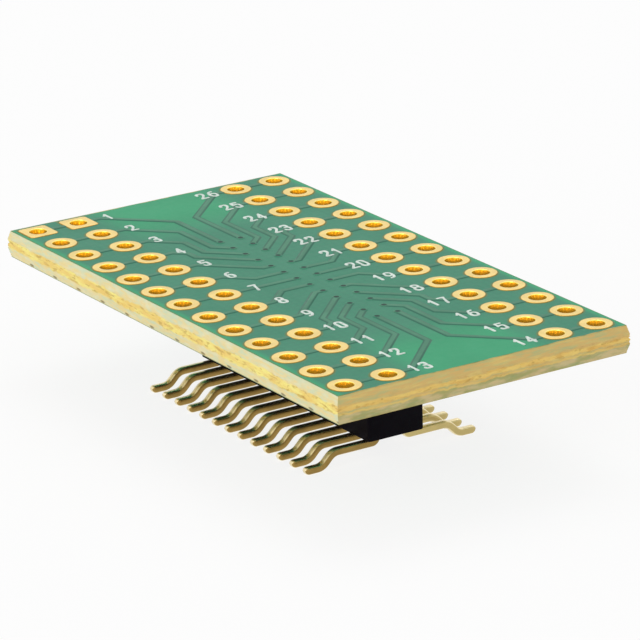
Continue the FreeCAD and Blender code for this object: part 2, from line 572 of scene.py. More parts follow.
def new_group(name, inputs, outputs):
    """Node group with the named sockets, the outputs that bring what it is given, and the inputs that take
    its results."""
    group = bpy.data.node_groups.new(name, "ShaderNodeTree")
    for title, kind, default in inputs:
        socket = group.interface.new_socket(name=title, in_out="INPUT", socket_type=kind)
        if default is not None:
            socket.default_value = default
    for title, kind in outputs:
        group.interface.new_socket(name=title, in_out="OUTPUT", socket_type=kind)
    return group, node(group, "NodeGroupInput").outputs, node(group, "NodeGroupOutput").inputs


def grain_group():
    """Fine unevenness of a surface: a noise value, and the normal that it bends."""
    name = "Fine grain"
    if name in bpy.data.node_groups:
        return bpy.data.node_groups[name]
    group, given, result = new_group(
        name,
        [("Vector", "NodeSocketVector", None), ("Scale", "NodeSocketFloat", 4000.0),
         ("Strength", "NodeSocketFloat", 0.2), ("Height", "NodeSocketFloat", 0.01 * MM)],
        [("Value", "NodeSocketFloat"), ("Normal", "NodeSocketVector")])
    value = noise_value(group, given["Vector"], given["Scale"], 4.0, roughness=0.6)
    bump = node(group, "ShaderNodeBump")
    feed(group, given["Strength"], bump.inputs["Strength"])
    feed(group, given["Height"], bump.inputs["Distance"])
    feed(group, value, bump.inputs["Height"])
    feed(group, value, result["Value"])
    feed(group, bump.outputs["Normal"], result["Normal"])
    lay_out(group)
    return group


def tint_group():
    """Smooth drift between two colours over a surface."""
    name = "Uneven tint"
    if name in bpy.data.node_groups:
        return bpy.data.node_groups[name]
    group, given, result = new_group(
        name,
        [("Vector", "NodeSocketVector", None), ("Scale", "NodeSocketFloat", 300.0),
         ("Color A", "NodeSocketColor", None), ("Color B", "NodeSocketColor", None)],
        [("Color", "NodeSocketColor")])
    share = band(group, noise_value(group, given["Vector"], given["Scale"], 3.0), 0.35, 0.65)
    feed(group, mix(group, share, given["Color A"], given["Color B"]), result["Color"])
    lay_out(group)
    return group


def use_group(tree, group, vector, **values):
    """Places a node group and fills its inputs. An underscore in a name stands for a space."""
    made = node(tree, "ShaderNodeGroup", node_tree=group)
    feed(tree, vector, made.inputs["Vector"])
    for title, value in values.items():
        feed(tree, value, made.inputs[title.replace("_", " ")])
    return made.outputs


class Paint:
    """A new material: its tree, its main shader and the two coordinate outputs that patterns read."""

    def __init__(self, name, roughness, metallic=0.0, specular=0.5):
        self.material = bpy.data.materials.new(name)
        self.material.use_nodes = True
        self.tree = self.material.node_tree
        self.shader = next(n for n in self.tree.nodes if n.type == "BSDF_PRINCIPLED")
        self.shader.inputs["Roughness"].default_value = roughness
        self.shader.inputs["Metallic"].default_value = metallic
        self.shader.inputs["Specular IOR Level"].default_value = specular
        coordinates = node(self.tree, "ShaderNodeTexCoord")
        self.place = coordinates.outputs["Object"]
        self.uv = coordinates.outputs["UV"]

    def parts(self, vector):
        """X, Y and Z of a vector."""
        split = node(self.tree, "ShaderNodeSeparateXYZ")
        feed(self.tree, vector, split.inputs[0])
        return split.outputs

    def stretched(self, level, upright):
        """Object coordinates scaled one way on the level and another upright, for patterns that run along
        the board's edge."""
        mapping = node(self.tree, "ShaderNodeMapping")
        feed(self.tree, self.place, mapping.inputs["Vector"])
        mapping.inputs["Scale"].default_value = (level, level, upright)
        return mapping.outputs["Vector"]

    def tint(self, scale, a, b, vector=None):
        """Colour that drifts between a and b over the surface."""
        made = use_group(self.tree, tint_group(), self.place if vector is None else vector,
                         Scale=scale, Color_A=rgba(a), Color_B=rgba(b))
        return made["Color"]

    def streaks(self, level, upright, a, b):
        """Colour that goes between a and b in streaks along the board's edge."""
        return self.tint(1.0, a, b, self.stretched(level, upright))

    def finish(self, colour, grain=None, rough=None, rough_by=None, vector=None):
        """Links the colour to the main shader. grain gives the scale, strength and height of the fine
        unevenness, which reads Object coordinates or the given vector. rough gives the range of the
        roughness, which goes with the grain or with rough_by."""
        feed(self.tree, colour, self.shader.inputs["Base Color"])
        if grain:
            scale, strength, height = grain
            fine = use_group(self.tree, grain_group(), self.place if vector is None else vector,
                             Scale=scale, Strength=strength, Height=height)
            ranged = node(self.tree, "ShaderNodeMapRange")
            feed(self.tree, fine["Value"] if rough_by is None else rough_by, ranged.inputs["Value"])
            ranged.inputs["To Min"].default_value, ranged.inputs["To Max"].default_value = rough
            feed(self.tree, ranged.outputs["Result"], self.shader.inputs["Roughness"])
            feed(self.tree, fine["Normal"], self.shader.inputs["Normal"])
        lay_out(self.tree)
        return self.material


def seen_rays(tree):
    """1 for rays that the camera sends, directly or through gloss or glass, and 0 for light on its way."""
    path = node(tree, "ShaderNodeLightPath")
    seen = larger(tree, path.outputs["Is Camera Ray"], path.outputs["Is Glossy Ray"])
    return larger(tree, seen, path.outputs["Is Transmission Ray"])


FILM_GLOSS = {"roughness": 0.38, "specular": 0.08}
FILM_ROUGH = (0.30, 0.46)


def film_paint(board, colours):
    """Satin green film: brighter where light comes through the laminate beyond the black body, olive where it
    thins round each pad and along the scored edges, and scraped off in places along the short sides, with the
    weave of the glass cloth just showing."""
    paint = Paint("green film", **FILM_GLOSS)
    tree = paint.tree
    x, y, _ = paint.parts(paint.place)
    side, along = without_sign(tree, x), without_sign(tree, y)
    beyond_body = band(tree, along, 8.8 * MM, 13.5 * MM)
    between_pads = band(tree, side, 2.4 * MM, 4.8 * MM, reverse=True)
    near_side = band(tree, side, 8.2 * MM, 8.6 * MM)
    lit = larger(tree, times(tree, beyond_body, between_pads), near_side)
    base = mix(tree, lit, colours.film, colours.film_lit)
    white, faint_blue = (1, 1, 1), (0.84, 0.93, 0.92)
    base = mix(tree, 1.0, base, paint.tint(260.0, white, faint_blue), blend="MULTIPLY")
    cloth_pitch = 0.42 * MM
    cloth = times(tree, nearest(tree, x, cloth_pitch), nearest(tree, y, cloth_pitch))
    cloth = band(tree, cloth, 0.0, 0.03 * MM * MM)
    base = mix(tree, times(tree, cloth, 0.10), base, shade(colours.film_lit, 1.1))
    pair_middle = board.inner_column + board.hole_pitch / 2
    off_column = gap(tree, gap(tree, side, pair_middle), board.hole_pitch / 2)
    off_row = nearest(tree, y, board.hole_pitch)
    round_rim = band(tree, length(tree, off_column, off_row),
                     board.pad_radius + 0.03 * MM, board.pad_radius + 0.15 * MM, reverse=True)
    square_rim = band(tree, larger(tree, off_column, off_row),
                      board.pad_side / 2 + 0.02 * MM, board.pad_side / 2 + 0.12 * MM, reverse=True)
    first_row = math_node(tree, "GREATER_THAN", y, (ROWS - 1.6) / 2 * board.hole_pitch)
    left_side = math_node(tree, "LESS_THAN", x, 0.0)
    square_rim = times(tree, square_rim, times(tree, first_row, left_side))
    film_x, film_y = LAMINATE_HIGH[:2] - board.score_inset
    margin = 0.09 * MM
    outer_x = band(tree, side, film_x - margin, film_x)
    outer_y = band(tree, along, film_y - margin, film_y)
    thin = larger(tree, larger(tree, round_rim, square_rim), larger(tree, outer_x, outer_y))
    olive = (0.16, 0.20, 0.05)
    colour = mix(tree, times(tree, thin, 0.8), base, olive)
    worn = plus(tree, along, times(tree, noise_value(tree, paint.place, 1100.0, 3.0), 0.30 * MM))
    scraped = band(tree, worn, film_y + 0.06 * MM, film_y + 0.15 * MM)
    colour = mix(tree, times(tree, scraped, 0.85), colour, shade(colours.laminate_end, 0.85))
    return paint.finish(colour, grain=(2600.0, 0.12, 0.004 * MM), rough=FILM_ROUGH)


def track_paint(colours):
    """The same film over a copper track: greyer on top, and dark down the flanks, which is painted shade of
    the track's slopes. The UV map's first part is the share of the way from the track's middle line to its
    side."""
    paint = Paint("green film on copper", **FILM_GLOSS)
    off_middle, _, _ = paint.parts(paint.uv)
    # The flanks are painted darker than the top: painted shade of the track's slopes.
    flank = band(paint.tree, off_middle, 0.42, 0.64)
    top = paint.tint(500.0, colours.film_on_copper, shade(colours.film_on_copper, 0.84))
    painted_flank_shade = (0.030, 0.148, 0.093)
    colour = mix(paint.tree, flank, top, painted_flank_shade)
    return paint.finish(colour, grain=(3500.0, 0.12, 0.003 * MM), rough=FILM_ROUGH)


def via_paint(colours):
    """Film over a via: it sinks a little into the hole, and its middle is painted dark, as painted shade of
    the hole under it. The UV map's first part is the share of the way from the via's middle to its edge."""
    paint = Paint("green film in a via", **FILM_GLOSS)
    from_middle, _, _ = paint.parts(paint.uv)
    # The middle is painted deep green: painted shade of the hole under the film.
    in_hole = band(paint.tree, from_middle, 0.46, 0.70, reverse=True)
    collar = paint.tint(500.0, shade(colours.film_on_copper, 0.9), shade(colours.film, 0.9))
    painted_hole_shade = (0.003, 0.042, 0.027)
    return paint.finish(mix(paint.tree, in_hole, collar, painted_hole_shade))


def laminate_paint(board, colours):
    """Glass cloth in yellow resin. The scored faces are pale along the long sides and tan across the short
    ones, with greenish and golden fibres. The broken strip is deep yellow with brown fibres and spots, and
    its borders wander. Across the short sides it is narrower, with a second, thinner line below it, and the
    lower cut is mottled with olive and painted darker, partly as painted shade of that downward-facing cut.
    The long sides have a dark lower rim, and a trace of copper just over it between the rows of holes."""
    paint = Paint("glass-epoxy laminate", 0.55, specular=0.2)
    tree = paint.tree
    x, y, z = paint.parts(paint.place)
    top, bottom = LAMINATE_HIGH[2], LAMINATE_LOW[2]
    web_middle = top - board.score_depth - board.web / 2
    to_side = minus(tree, without_sign(tree, x), LAMINATE_HIGH[0])
    to_end = minus(tree, without_sign(tree, y), LAMINATE_HIGH[1])
    long_side = band(tree, minus(tree, to_side, to_end), -0.02 * MM, 0.02 * MM)
    short_side = minus(tree, 1.0, long_side)

    def wander(level, upright, reach):
        """Noise about 0 that moves a border by up to half the reach, up or down."""
        noise = noise_value(tree, paint.stretched(level, upright), 1.0, 3.0)
        return times(tree, minus(tree, noise, 0.5), reach)

    bent = plus(tree, z, wander(420.0, 300.0, 0.42 * MM))
    bent = plus(tree, bent, wander(2400.0, 1800.0, 0.24 * MM))

    green_fibres, golden_fibres = (0.64, 0.70, 0.47), (0.82, 0.68, 0.32)
    pale = paint.streaks(650.0, 2600.0, colours.laminate, green_fibres)
    pale = paint.streaks(1500.0, 6000.0, pale, golden_fibres)
    near_top = band(tree, bent, top - 0.20 * MM, top - 0.02 * MM)
    green_tinge = (0.62, 0.74, 0.54)
    pale = mix(tree, times(tree, near_top, 0.55), pale, green_tinge)

    green_tan, golden_tan = (0.52, 0.50, 0.22), (0.70, 0.48, 0.17)
    tan = paint.streaks(480.0, 4200.0, colours.laminate_end, green_tan)
    tan = paint.streaks(1300.0, 8000.0, tan, golden_tan)
    # The lower cut gets olive and sand streaks: its own mottling, and painted shade that darkens the whole
    # cut.
    low_cut_mottle_and_shade = band(tree, bent, web_middle - 0.34 * MM, web_middle - 0.16 * MM, reverse=True)
    olive, sand = (0.24, 0.33, 0.13), (0.62, 0.52, 0.30)
    tan = mix(tree, times(tree, low_cut_mottle_and_shade, 0.62), tan, paint.streaks(1000.0, 3000.0, olive, sand))

    amber, ochre = (0.86, 0.62, 0.18), (0.82, 0.50, 0.13)
    web = paint.streaks(600.0, 3000.0, colours.fibre, amber)
    streak = band(tree, noise_value(tree, paint.stretched(800.0, 4600.0), 1.0, 4.0), 0.52, 0.66)
    web = mix(tree, times(tree, streak, 0.62), web, colours.burr)
    web = mix(tree, times(tree, short_side, 0.6), web, ochre)

    off_web = gap(tree, bent, web_middle)
    side_web = band(tree, off_web, 0.17 * MM, 0.31 * MM, reverse=True)
    end_web = band(tree, off_web, 0.06 * MM, 0.18 * MM, reverse=True)
    off_line = gap(tree, bent, web_middle - 0.27 * MM)
    end_line = times(tree, band(tree, off_line, 0.02 * MM, 0.09 * MM, reverse=True), 0.7)
    share = plus(tree, times(tree, side_web, minus(tree, 1.0, short_side)),
                 times(tree, larger(tree, end_web, end_line), short_side))
    colour = mix(tree, share, mix(tree, short_side, pale, tan), web)
    spots = band(tree, noise_value(tree, paint.stretched(1900.0, 5200.0), 1.0, 2.0), 0.58, 0.68)
    spots = times(tree, spots, share)
    colour = mix(tree, times(tree, spots, 0.45), colour, shade(colours.burr, 0.8))

    rim = band(tree, z, bottom + 0.03 * MM, bottom + 0.08 * MM, reverse=True)
    dark_rim, copper = (0.24, 0.30, 0.18), (0.16, 0.10, 0.03)
    colour = mix(tree, times(tree, times(tree, rim, long_side), 0.6), colour, dark_rim)
    off_row = nearest(tree, y, board.hole_pitch, offset=1.20 * MM)
    off_height = times(tree, minus(tree, z, bottom + 0.13 * MM), 3.0)
    trace = band(tree, length(tree, off_row, off_height), 0.13 * MM, 0.30 * MM, reverse=True)
    colour = mix(tree, times(tree, times(tree, trace, long_side), 0.75), colour, copper)
    return paint.finish(colour, grain=(2200.0, 0.6, 0.02 * MM), rough=(0.42, 0.68),
                        vector=paint.stretched(1.0, 3.0))


def plating_paint(board, colours):
    """Gold over copper: pale on the flat of a pad, deeper and glossier down the hole, and a thin brown line
    at the pad's edge. The deeper gold down the hole is partly the plating's colour and partly painted light
    from the bounces in the hole. The UV map's first part is the share of the way to that edge."""
    paint = Paint("gold plating", 0.3, metallic=0.85)
    tree = paint.tree
    out, _, _ = paint.parts(paint.uv)
    flat = paint.tint(900.0, colours.gold, shade(colours.gold, 0.90))
    inside = band(tree, out, 0.02, 0.12, reverse=True)
    brown = (0.62, 0.30, 0.05)
    # Down the hole the colour turns to the bore's gold: the plating's colour, partly painted light from the
    # bounces in the hole.
    colour = mix(tree, inside, flat, colours.bore)
    colour = mix(tree, times(tree, band(tree, out, 0.90, 1.0), 0.8), colour, brown)
    return paint.finish(colour, grain=(5000.0, 0.05, 0.003 * MM), rough=(0.42, 0.11), rough_by=inside)


def wire_paint(colours):
    """Gold-plated legs: bright on the rolled faces, browner and duller on the sheared sides, which are paler
    on the right row as painted light, and darker on the left row as painted shade. The UV map's first part is
    the share of the way from the wire's middle line to those sides."""
    paint = Paint("gold-plated wire", 0.36, metallic=1.0)
    tree = paint.tree
    off_middle, _, _ = paint.parts(paint.uv)
    sheared = band(tree, off_middle, 0.80, 0.95)
    rolled = paint.tint(700.0, colours.leg_gold, shade(colours.leg_gold, 0.92))
    x, _, _ = paint.parts(paint.place)
    # Painted light and shade by row: the right row's sheared sides get the paler colour, and the left row's
    # the darker one.
    lit_right_row = math_node(tree, "GREATER_THAN", x, 0.0)
    flank = mix(tree, lit_right_row, colours.leg_flank, colours.leg_flank_right)
    dark_flank = mix(tree, lit_right_row, shade(colours.leg_flank, 0.80), shade(colours.leg_flank_right, 0.88))
    colour = mix(tree, sheared, rolled, paint.tint(1100.0, flank, dark_flank))
    return paint.finish(colour, grain=(4200.0, 0.05, 0.003 * MM), rough=(0.30, 0.46), rough_by=sheared)


def ink_paint(colours):
    """White print that lets a little green through."""
    paint = Paint("white print", 0.5, specular=0.2)
    colour = paint.tint(2600.0, colours.ink, shade(colours.ink, 0.82))
    return paint.finish(colour, grain=(6000.0, 0.2, 0.004 * MM), rough=(0.4, 0.6))


def plastic_paint(colours):
    """Black moulded plastic with a fine satin skin."""
    paint = Paint("black plastic", 0.5, specular=0.03)
    colour = paint.tint(900.0, colours.plastic, shade(colours.plastic, 1.5))
    return paint.finish(colour, grain=(5000.0, 0.35, 0.008 * MM), rough=(0.36, 0.55))


def solder_paint(colours):
    """Solder, satin and a little frosted."""
    paint = Paint("solder", 0.3, metallic=1.0)
    colour = paint.tint(2500.0, colours.solder, shade(colours.solder, 0.8))
    return paint.finish(colour, grain=(9000.0, 0.3, 0.006 * MM), rough=(0.22, 0.42))


# Operators, one for each piece or group of like pieces


class ADAPTER_OT_laminate(bpy.types.Operator):
    """Builds the laminate: a perforated plate inside a band with scored, broken edges"""

    bl_idname = "adapter.laminate"
    bl_label = "Laminate"

    def execute(self, context):
        """The plate's openings are circles a little wider than the holes, so the barrels cover their rims,
        and its outer rim lies inside the band."""
        board, colours = context.scene.adapter_board, context.scene.adapter_finish
        band_width = 0.45 * MM
        cover = 0.02 * MM
        top, bottom = film_top(board) - cover, BOARD_BOTTOM + board.relief + cover
        barrel = board.hole_radius + 0.02 * MM
        surface = plate(board, LAMINATE_HIGH[:2] - band_width, top - cover, bottom + cover,
                        lambda direction, number: np.full(direction.shape[:-1], barrel))
        surface.add(self.edge_band(board, band_width, top, bottom), close_rows=True, close_columns=True)
        add_piece(surface, "laminate", laminate_paint(board, colours), ["circuit_board"], 50)
        return {"FINISHED"}

    @staticmethod
    def edge_band(board, width, top, bottom):
        """Closed band round the board. Its section goes down the upper cut, the broken strip and the lower
        cut, and back up inside. A point lies on the rectangle with the half sizes less the section's inset,
        and noise adds to the inset: long fibres in the strip, faint tool marks on the cuts."""
        half_x, half_y = LAMINATE_HIGH[:2]
        web_top = LAMINATE_HIGH[2] - board.score_depth
        web_bottom = web_top - board.web
        cut_rows, web_rows = 7, 9
        inset = np.concatenate([
            [width],
            np.linspace(board.score_inset, 0, cut_rows, endpoint=False),
            np.zeros(web_rows),
            np.linspace(0, board.score_inset, cut_rows + 1)[1:],
            [width],
        ])
        height = np.concatenate([
            [top],
            np.linspace(top, web_top, cut_rows, endpoint=False),
            np.linspace(web_top, web_bottom, web_rows),
            np.linspace(web_bottom, bottom, cut_rows + 1)[1:],
            [bottom],
        ])
        step = 0.06 * MM
        along_x, along_y = int(2 * half_x / step), int(2 * half_y / step)
        sweep_x = np.linspace(-1, 1, along_x, endpoint=False)
        sweep_y = np.linspace(-1, 1, along_y, endpoint=False)
        unit_x = np.concatenate([sweep_x, np.ones(along_y), -sweep_x, -np.ones(along_y)])
        unit_y = np.concatenate([-np.ones(along_x), sweep_y, np.ones(along_x), -sweep_y])
        down = ((top - height) / (top - bottom))[:, None] * np.ones_like(unit_x)
        along = np.linspace(0, 1, len(unit_x), endpoint=False)[None, :] * np.ones_like(down)
        fibres = lattice_noise(down, along, 18, 240, board.seed)
        splinters = lattice_noise(down, along, 30, 900, board.seed + 1)
        chips = lattice_noise(down, along, 4, 60, board.seed + 2)
        rounding = 1e-9
        in_web = (height <= web_top + rounding) & (height >= web_bottom - rounding)
        in_web = in_web.astype(float)[:, None]
        on_cut = 1 - in_web
        on_cut[[0, 1, -2, -1]] = 0
        chipped = np.maximum(0, chips - 0.55)
        rough = in_web * (0.075 * MM * fibres + 0.035 * MM * splinters + 0.05 * MM * chipped)
        rough += on_cut * (0.012 * MM * splinters + 0.010 * MM * fibres)
        total = inset[:, None] + rough
        return join(unit_x * (half_x - total), unit_y * (half_y - total), height[:, None])


class ADAPTER_OT_film(bpy.types.Operator):
    """Builds the green film on both faces, open round each pad"""

    bl_idname = "adapter.film"
    bl_label = "Green film"

    def execute(self, context):
        """Two thin plates. Their rims lie just inside the laminate's edge and just under the pads."""
        board, colours = context.scene.adapter_board, context.scene.adapter_finish
        paint = film_paint(board, colours)
        half = LAMINATE_HIGH[:2] - board.score_inset - 0.01 * MM
        thickness, lap = 0.03 * MM, 0.02 * MM
        top, bottom = film_top(board), BOARD_BOTTOM + board.relief

        def opening(direction, number):
            """Rim of the film round a hole: square at hole 1, and round at the others."""
            round_rim = np.full(direction.shape[:-1], board.pad_radius - lap)
            square_rim = square_reach(direction, board.pad_side / 2 - lap)
            return np.where(number[:, None] == 1, square_rim, round_rim)

        add_piece(plate(board, half, top, top - thickness, opening), "film_top", paint,
                  ["solder_mask_top"])
        add_piece(plate(board, half, bottom + thickness, bottom, opening), "film_bottom", paint,
                  ["solder_mask_bottom"])
        return {"FINISHED"}


class ADAPTER_OT_tracks(bpy.types.Operator):
    """Builds the tracks and vias that stand up under the film"""

    bl_idname = "adapter.tracks"
    bl_label = "Tracks and vias"

    def execute(self, context):
        """Each track is a ridge with square ends along its route, once on each side of the board."""
        board, colours = context.scene.adapter_board, context.scene.adapter_finish
        height = 0.75 * board.relief
        surface = Surface()
        for path in self.routes(board):
            for mirror_x in (1, -1):
                grid, uv = ridge(path * (mirror_x, 1), board.track_width, height, film_top(board),
                                 shoulder=0.46, ends="square")
                surface.add(grid, close_columns=True, uv=uv)
        add_piece(surface, "covered_tracks", track_paint(colours))
        add_piece(self.vias(board, height), "covered_vias", via_paint(colours))
        return {"FINISHED"}

    @staticmethod
    def routes(board):
        """Paths of the tracks on the left side. From an inner pad a track goes straight in, then at 45
        degrees to its own column, down that column and at 45 degrees to its via. The nearer the middle row,
        the further out the column. The rows next to the middle one go at 45 degrees to their via's own row
        instead, and then along it, and the middle row's track is straight. A short track joins the two pads
        of each row."""
        routes = []
        via_x = board.via_pitch / 2
        inner_x, outer_x = board.inner_column, board.inner_column + board.hole_pitch
        turn_x = inner_x - 1.42 * MM
        middle = (ROWS - 1) // 2
        start = 0.96 * board.pad_radius
        for row in range(ROWS):
            rows_out = abs(row - middle)
            sign = 1 if row <= middle else -1
            y = rows_out * board.hole_pitch
            via_y = rows_out * board.via_pitch
            column_x = via_x + (middle - rows_out) * board.track_spacing
            path = [(inner_x - start, y)]
            if y - (turn_x - column_x) > via_y + (column_x - via_x):
                path += [(turn_x, y), (column_x, y - (turn_x - column_x))]
                if column_x > via_x + 0.001 * MM:
                    path.append((column_x, via_y + (column_x - via_x)))
            elif rows_out:
                path += [(turn_x, y), (turn_x - (y - via_y), via_y)]
            path.append((via_x, via_y))
            routes.append(np.array(path) * (-1, sign))
            routes.append(np.array([(inner_x + start, y), (outer_x - start, y)]) * (-1, sign))
        return routes

    @staticmethod
    def vias(board, height):
        """Covered vias as turned forms that lie over the ends of the tracks. The height falls by a half
        cosine from the collar to the outer edge, and by a square from the collar to the middle, where the
        film sags a little."""
        outer, collar, sag = 0.25 * MM, 0.18 * MM, 0.2
        lift, sink = 0.006 * MM, 0.01 * MM
        radius = np.concatenate([np.linspace(0, collar, 6), np.linspace(collar, outer, 5)[1:]])
        fall = np.clip((radius - collar) / (outer - collar), 0, 1)
        rise = np.where(radius < collar, 1 - sag * (1 - (radius / collar) ** 2),
                        0.5 + 0.5 * np.cos(math.pi * fall))
        z = film_top(board) + lift + rise * height
        radius, z = np.append(radius, [outer, 0]), np.append(z, [film_top(board) - sink] * 2)
        angle = full_turn(24)
        row = (np.arange(ROWS) - (ROWS - 1) / 2) * board.via_pitch
        centre_x, centre_y = np.meshgrid([-board.via_pitch / 2, board.via_pitch / 2], row)
        points = join(
            centre_x.reshape(-1, 1, 1) + radius[:, None] * np.cos(angle),
            centre_y.reshape(-1, 1, 1) + radius[:, None] * np.sin(angle),
            z[:, None])
        uv = join(radius[:, None] / outer, angle / (2 * math.pi))
        return Surface().add(points, close_columns=True, uv=uv)


class ADAPTER_OT_pads(bpy.types.Operator):
    """Builds the plated holes: a barrel with a crowned pad at each end"""

    bl_idname = "adapter.pads"
    bl_label = "Plated holes"

    def execute(self, context):
        """The section is carried round each hole. A point's distance from the hole's axis is the hole's
        radius plus the section's share of the way to the pad's outline, a circle or a square."""
        board, colours = context.scene.adapter_board, context.scene.adapter_finish
        x, y, number = hole_table(board)
        segments = 40
        angle = full_turn(segments) + math.pi / segments
        direction = join(np.cos(angle), np.sin(angle))
        share, height = self.section(board)
        outline = np.where(number[:, None] == 1, square_reach(direction, board.pad_side / 2)[None, :],
                           board.pad_radius)
        reach = board.hole_radius + share[None, :, None] * (outline[:, None, :] - board.hole_radius)
        points = join(
            x[:, None, None] + reach * direction[:, 0],
            y[:, None, None] + reach * direction[:, 1],
            height[None, :, None])
        uv = join(share, np.linspace(0, 1, len(share)))[:, None]
        surface = Surface().add(points, close_rows=True, close_columns=True, uv=uv)
        add_piece(surface, "plated_holes", plating_paint(board, colours), crease=60)
        return {"FINISHED"}

    @staticmethod
    def section(board):
        """Closed outline of half a plated hole: share of the way from the hole to the pad's edge, and height.
        The mouth of the hole and the pad's edge are quarter circles, and the pad between them is flat."""
        ring = board.pad_radius - board.hole_radius
        mouth, edge = 0.04 * MM, 0.8 * board.relief
        turn = np.linspace(0, math.pi / 2, 5)
        flat = np.linspace(mouth / ring, 1 - edge / ring, 4)[1:-1]
        upper_share = np.concatenate([
            mouth * (1 - np.cos(turn)) / ring, flat, 1 - edge * (1 - np.sin(turn)) / ring])
        drop = np.concatenate([mouth * (1 - np.sin(turn)), 0 * flat, edge * (1 - np.cos(turn))])
        barrel = 0.03 * MM / ring
        foot = board.relief + 0.02 * MM
        share = np.concatenate([upper_share, [1, barrel, barrel, 1], upper_share[::-1]])
        height = np.concatenate([BOARD_TOP - drop, [BOARD_TOP - foot] * 2, [BOARD_BOTTOM + foot] * 2,
                                 (BOARD_BOTTOM + drop)[::-1]])
        return share, height


# Control points of the digits' strokes, in a cell one wide and one high. Their corners are cut when they are
# used, so the points of some loops lie slightly outside the cell
DIGIT_STROKES = {
    "0": [[(0, -0.02), (0, 0.5), (0, 1.02), (1, 1.02), (1, 0.5), (1, -0.02), (0, -0.02)]],
    "1": [[(0.5, 1), (0.5, 0)], [(0.12, 0.76), (0.5, 0.97)]],
    "2": [[(0, 0.74), (0.02, 1), (0.5, 1), (1, 1), (1, 0.66), (0.8, 0.5), (0, 0.04)], [(0, 0), (1, 0)]],
    "3": [[(0, 0.84), (0.15, 1), (0.55, 1), (0.98, 1), (0.98, 0.56), (0.4, 0.54)],
          [(0.4, 0.54), (1, 0.52), (1, 0), (0.5, 0), (0.15, 0), (0, 0.16)]],
    "4": [[(0.7, 0), (0.7, 1)], [(0.66, 0.96), (0, 0.34)], [(0, 0.3), (1, 0.3)]],
    "5": [[(0.95, 1), (0.1, 1)], [(0.1, 0.96), (0.05, 0.56)],
          [(0.05, 0.56), (0.5, 0.64), (1, 0.62), (1, 0.32), (1, 0), (0.5, 0), (0.15, 0), (0, 0.14)]],
    "6": [[(0.88, 1), (0.3, 0.95), (0, 0.6), (0, 0.3)],
          [(-0.04, 0), (-0.04, 0.6), (1.04, 0.6), (1.04, 0), (-0.04, 0)]],
    "7": [[(0, 1), (1, 1)], [(0.98, 0.97), (0.6, 0.5), (0.42, 0)]],
    "8": [[(0.02, 0.54), (0.02, 1), (0.98, 1), (0.98, 0.54), (0.02, 0.54)],
          [(-0.04, 0.54), (1.04, 0.54), (1.04, 0), (-0.04, 0), (-0.04, 0.54)]],
    "9": [[(0.12, 0), (0.7, 0.05), (1, 0.4), (1, 0.7)],
          [(-0.04, 1), (1.04, 1), (1.04, 0.4), (-0.04, 0.4), (-0.04, 1)]],
}


class ADAPTER_OT_numbers(bpy.types.Operator):
    """Prints the number of each row of holes beside its inner pad"""

    bl_idname = "adapter.numbers"
    bl_label = "Printed numbers"

    def execute(self, context):
        """Every stroke is a ridge along its eased line, scaled from the cell to the digit's size. A digit's
        later strokes are a little lower, so that their tops don't lie in one plane where they cross."""
        board, colours = context.scene.adapter_board, context.scene.adapter_finish
        surface = Surface()
        cell_width = 0.35 * MM
        advance = 0.69 * MM
        stroke = 0.155 * MM
        middle_x = 3.20 * MM
        tall = board.digit_height - stroke
        thickness = 0.95 * board.relief
        for row in range(ROWS):
            y = ((ROWS - 1) / 2 - row) * board.hole_pitch
            for side, number in ((-1, row + 1), (1, 2 * ROWS - row)):
                text = str(number)
                for place, digit in enumerate(text):
                    x = side * middle_x + (place - (len(text) - 1) / 2) * advance
                    for order, line in enumerate(DIGIT_STROKES[digit]):
                        line, ends = eased(line)
                        path = (line - 0.5) * (cell_width, tall) + (x, y)
                        grid, uv = ridge(path, stroke, thickness * (1 - 0.06 * order), film_top(board),
                                         shoulder=0.15, ends=ends)
                        surface.add(grid, close_rows=ends == "none", close_columns=True, uv=uv)
        add_piece(surface, "printed_numbers", ink_paint(colours))
        return {"FINISHED"}


